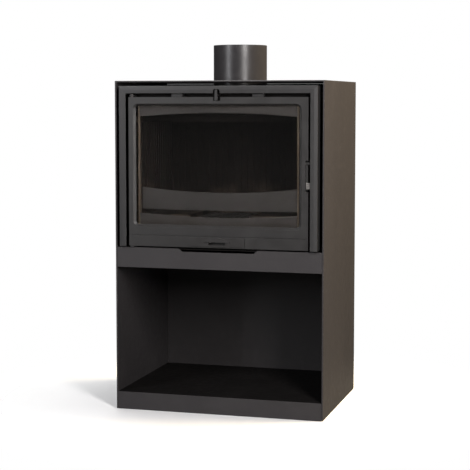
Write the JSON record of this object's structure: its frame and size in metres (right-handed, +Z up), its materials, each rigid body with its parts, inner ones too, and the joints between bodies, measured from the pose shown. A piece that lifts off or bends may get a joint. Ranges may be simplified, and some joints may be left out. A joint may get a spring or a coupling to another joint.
{
  "type": "wood burning stove",
  "caption": "Free-standing wood burning stove: steel cabinet, glazed hinged door over the fire, open log store below, round flue outlet on top, latch lever and pull-out air control.",
  "frame": {"origin": "on the floor, under the middle of the object's box", "axes": "+Z up, +Y to the back, so the door faces -Y; +X to the right as seen by someone facing the door"},
  "size_m": [0.7, 0.5364, 1.206],
  "materials": {
    "anthracite_paint": "fine-textured matt stove paint",
    "inner_paint": "matt black stove paint inside the cabinet",
    "black_paint": "satin black stove paint",
    "cast_iron": "cast iron painted dark grey, fine sand texture",
    "dark_steel": "blued sheet steel, dull",
    "zinc_steel": "zinc-plated steel, worn",
    "vermiculite": "sooted vermiculite board",
    "glass_fibre": "knitted glass fibre rope and tape, dark grey",
    "ceramic_glass": "clear ceramic glass"
  },
  "bodies": {
    "stove": {"side_panel_left": "anthracite_paint", "side_panel_right": "anthracite_paint", "top_plate": "anthracite_paint", "back_panel": "anthracite_paint", "fascia_band": "anthracite_paint", "plinth_front": "anthracite_paint", "flue_pipe": "anthracite_paint", "hearth_shelf": "inner_paint", "store_ceiling": "inner_paint", "store_floor": "inner_paint", "front_plate": "black_paint", "surround_frame": "black_paint", "spacer_block_left": "black_paint", "spacer_block_right": "black_paint", "hinge_bracket_upper": "black_paint", "hinge_bracket_lower": "black_paint", "latch_keeper": "black_paint", "keeper_pin": "zinc_steel", "log_guard": "cast_iron", "sill_plate": "cast_iron", "air_wash_deflector": "cast_iron", "grate": "cast_iron", "flue_collar": "cast_iron", "rear_heat_shield": "dark_steel", "firebox_wrap": "dark_steel", "firebox_base": "dark_steel", "firebox_top": "dark_steel", "hearth_frame": "dark_steel", "ash_pan": "dark_steel", "baffle_plate": "dark_steel", "air_box": "dark_steel", "levelling_foot_1": "dark_steel", "levelling_foot_2": "dark_steel", "levelling_foot_3": "dark_steel", "levelling_foot_4": "dark_steel", "hinge_pin_upper": "dark_steel", "hinge_pin_lower": "dark_steel", "jamb_left": "zinc_steel", "jamb_right": "zinc_steel", "lining_left": "vermiculite", "lining_right": "vermiculite", "lining_back": "vermiculite", "hearth_brick_left": "vermiculite", "hearth_brick_right": "vermiculite", "baffle_board": "vermiculite"},
    "door": {"door_frame": "cast_iron", "door_rope": "glass_fibre", "door_grip": "cast_iron", "door_glass": "ceramic_glass", "glass_gasket": "glass_fibre", "glass_retainer_left": "dark_steel", "glass_retainer_right": "dark_steel", "glass_screw_left_1": "dark_steel", "glass_screw_left_2": "dark_steel", "glass_screw_right_1": "dark_steel", "glass_screw_right_2": "dark_steel", "latch_pivot_pin": "zinc_steel"},
    "latch": {"latch_lever": "zinc_steel"},
    "air_control": {"air_knob": "black_paint", "air_shutter": "dark_steel"}
  },
  "joints": [
    {"name": "door_hinge", "type": "hinge", "parent": "stove", "child": "door", "pos_m": [-0.291, -0.24875, 0.5463], "axis": [0, 0, -1], "range_deg": [0, 110]},
    {"name": "latch_pivot", "type": "hinge", "parent": "door", "child": "latch", "pos_m": [0.2935, -0.25475, 0.822], "axis": [-1, 0, 0], "range_deg": [0, 35]},
    {"name": "air_pull", "type": "slide", "parent": "stove", "child": "air_control", "axis": [0, -1, 0], "range_m": [0, 0.04]}
  ]
}
